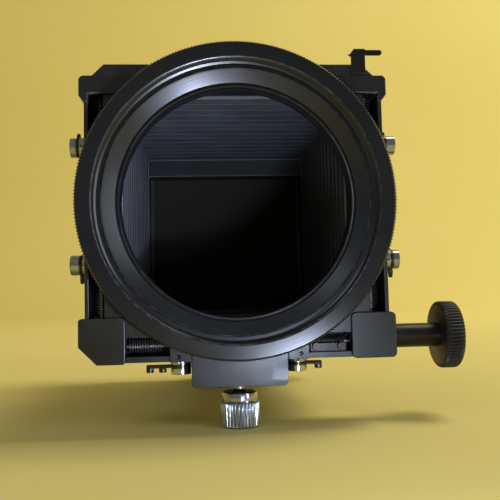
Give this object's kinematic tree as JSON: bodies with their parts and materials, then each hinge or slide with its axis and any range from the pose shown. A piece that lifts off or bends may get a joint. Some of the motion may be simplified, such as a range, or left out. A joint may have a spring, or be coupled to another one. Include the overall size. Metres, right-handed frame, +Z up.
{
  "type": "bellows view camera",
  "caption": "Small monorail bellows camera with a knurled lens ring on a sprung rising plate, a rise knob, a rail clamp screw and a sheet film back.",
  "frame": {"origin": "centre of the lens ring's front face, on the optical axis", "axes": "+X to the right seen from the front, +Y back into the camera along the optical axis, +Z up"},
  "size_m": [0.1267, 0.1482, 0.1292],
  "materials": {
    "black_anodised": "black anodised, satin",
    "black_paint": "satin black paint",
    "black_steel": "blackened steel",
    "steel": "ground bright steel",
    "spring_steel": "drawn wire",
    "nickel": "polished nickel plate",
    "bronze": "machined bronze",
    "black_plastic": "fine moulded texture",
    "bellows_leather": "matt black leathercloth",
    "film": "grey film back"
  },
  "bodies": {
    "rear_standard": {"rail": "black_anodised", "rear_block": "black_paint", "tripod_socket": "steel", "rear_frame": "black_paint", "film_holder": "black_plastic", "film_sheet": "film", "septum_plate": "steel", "back_cover": "black_paint", "back_clips": "spring_steel", "rear_screws": "black_steel"},
    "front_standard": {"left_rail": "black_anodised", "right_rail": "black_anodised", "top_bridge": "black_anodised", "corner_block_tl": "black_anodised", "corner_block_tr": "black_anodised", "corner_block_bl": "black_anodised", "corner_block_br": "black_anodised", "guide_rods": "steel", "cross_rod": "steel", "bottom_sills": "black_anodised", "stop_strip": "black_steel", "frame_screws": "black_steel", "base_bracket": "black_paint", "shaft_bushes": "bronze", "bellows_front_frame": "black_anodised", "bellows": "bellows_leather", "rise_springs": "spring_steel", "catch_spring_left": "spring_steel", "catch_spring_right": "spring_steel"},
    "lens_plate": {"lens_plate": "black_anodised", "plate_screws": "black_steel", "slider_blocks": "black_anodised", "slider_bushes": "bronze", "rise_rack": "steel"},
    "lens_ring": {"lens_ring": "black_anodised", "ring_circlip": "spring_steel"},
    "rise_knob": {"knob_shaft": "black_steel", "pinion": "bronze", "focus_knob": "black_plastic"},
    "catch_left": {"catch_left": "black_anodised"},
    "catch_right": {"catch_right": "black_anodised"},
    "release_lever": {"release_lever": "black_steel"},
    "thumb_screw": {"thumb_screw": "nickel", "clamp_shoe": "bronze"},
    "dark_slide": {"dark_slide": "black_plastic"},
    "lock_lu": {"lock_screw_lu": "nickel", "lock_tab_lu": "black_steel"},
    "lock_ll": {"lock_screw_ll": "nickel", "lock_tab_ll": "black_steel"},
    "lock_ru": {"lock_screw_ru": "nickel", "lock_tab_ru": "black_steel"},
    "lock_rl": {"lock_screw_rl": "nickel", "lock_tab_rl": "black_steel"},
    "lock_bl": {"lock_screw_bl": "nickel", "lock_tab_bl": "black_steel"},
    "lock_br": {"lock_screw_br": "nickel", "lock_tab_br": "black_steel"}
  },
  "joints": [
    {"name": "focus_slide", "type": "slide", "parent": "rear_standard", "child": "front_standard", "axis": [0, -1, 0], "range_m": [0, 0.025], "deforming": ["bellows"]},
    {"name": "plate_rise", "type": "slide", "parent": "front_standard", "child": "lens_plate", "axis": [0, 0, 1], "range_m": [-0.003, 0.003], "stiffness_N_per_m": 1500, "deforming": ["rise_springs"]},
    {"name": "knob_spin", "type": "hinge", "parent": "front_standard", "child": "rise_knob", "pos_m": [0.055, 0.0207, -0.0444], "axis": [-1, 0, 0], "range_deg": [-60, 60]},
    {"name": "ring_spin", "type": "hinge", "parent": "lens_plate", "child": "lens_ring", "pos_m": [0, 0, 0], "axis": [0, 1, 0], "continuous": true},
    {"name": "catch_left_slide", "type": "slide", "parent": "front_standard", "child": "catch_left", "axis": [-1, 0, 0], "range_m": [0, 0.003], "stiffness_N_per_m": 400, "springref_m": -0.002, "deforming": ["catch_spring_left"]},
    {"name": "catch_right_slide", "type": "slide", "parent": "front_standard", "child": "catch_right", "axis": [1, 0, 0], "range_m": [0, 0.003], "stiffness_N_per_m": 400, "springref_m": -0.002, "deforming": ["catch_spring_right"]},
    {"name": "lever_swing", "type": "hinge", "parent": "front_standard", "child": "release_lever", "pos_m": [0.0396, 0.0188, 0.0422], "axis": [0, 1, 0], "range_deg": [-60, 0]},
    {"name": "thumb_turn", "type": "hinge", "parent": "front_standard", "child": "thumb_screw", "pos_m": [0, 0.015, -0.065], "axis": [0, 0, 1], "range_deg": [-180, 0]},
    {"name": "dark_slide_pull", "type": "slide", "parent": "rear_standard", "child": "dark_slide", "axis": [0, 0, 1], "range_m": [0, 0.085]},
    {"name": "lock_lu_turn", "type": "hinge", "parent": "lens_plate", "child": "lock_lu", "pos_m": [-0.0475, 0.0132, 0.019], "axis": [1, 0, 0], "range_deg": [0, 90]},
    {"name": "lock_ll_turn", "type": "hinge", "parent": "lens_plate", "child": "lock_ll", "pos_m": [-0.0475, 0.0132, -0.019], "axis": [1, 0, 0], "range_deg": [0, 90]},
    {"name": "lock_ru_turn", "type": "hinge", "parent": "lens_plate", "child": "lock_ru", "pos_m": [0.0475, 0.0132, 0.019], "axis": [1, 0, 0], "range_deg": [0, 90]},
    {"name": "lock_rl_turn", "type": "hinge", "parent": "lens_plate", "child": "lock_rl", "pos_m": [0.0475, 0.0132, -0.019], "axis": [1, 0, 0], "range_deg": [0, 90]},
    {"name": "lock_bl_turn", "type": "hinge", "parent": "catch_left", "child": "lock_bl", "pos_m": [-0.0186, 0.0132, -0.0498], "axis": [0, 0, 1], "range_deg": [0, 90]},
    {"name": "lock_br_turn", "type": "hinge", "parent": "catch_right", "child": "lock_br", "pos_m": [0.0186, 0.0132, -0.0498], "axis": [0, 0, 1], "range_deg": [0, 90]}
  ],
  "couplings": [
    {"joint": "knob_spin", "follows": "plate_rise", "rad_per_m": 333.33}
  ]
}
